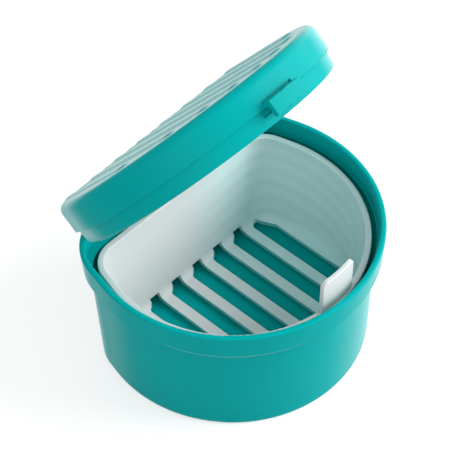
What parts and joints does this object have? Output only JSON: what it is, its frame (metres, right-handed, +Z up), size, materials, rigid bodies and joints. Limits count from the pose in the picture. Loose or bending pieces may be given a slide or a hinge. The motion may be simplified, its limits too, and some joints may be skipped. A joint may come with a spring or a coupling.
{
  "type": "denture case",
  "caption": "D-shaped denture bath: a teal tub with a hinged, ribbed lid and front latch, and a slotted white strainer basket with a finger tab.",
  "frame": {"origin": "on the table, under the centre of the round front of the tub", "axes": "+X to the right along the hinge, +Y towards the flat hinge side, +Z up; the latch and the finger tab are at -Y"},
  "size_m": [0.096, 0.0842, 0.1154],
  "materials": {
    "tub": "satin moulded polypropylene",
    "lid": "satin moulded polypropylene",
    "basket": "satin natural white polypropylene",
    "pins": "drawn stainless wire"
  },
  "bodies": {
    "tub": {"tub": "tub", "basket": "basket", "hinge_pin_left": "pins", "hinge_pin_right": "pins"},
    "lid": {"lid": "lid"}
  },
  "joints": [
    {"name": "lid_hinge", "type": "hinge", "parent": "tub", "child": "lid", "pos_m": [0, 0.034, 0.04875], "axis": [-1, 0, 0], "range_deg": [-50.9, 59.1]}
  ]
}
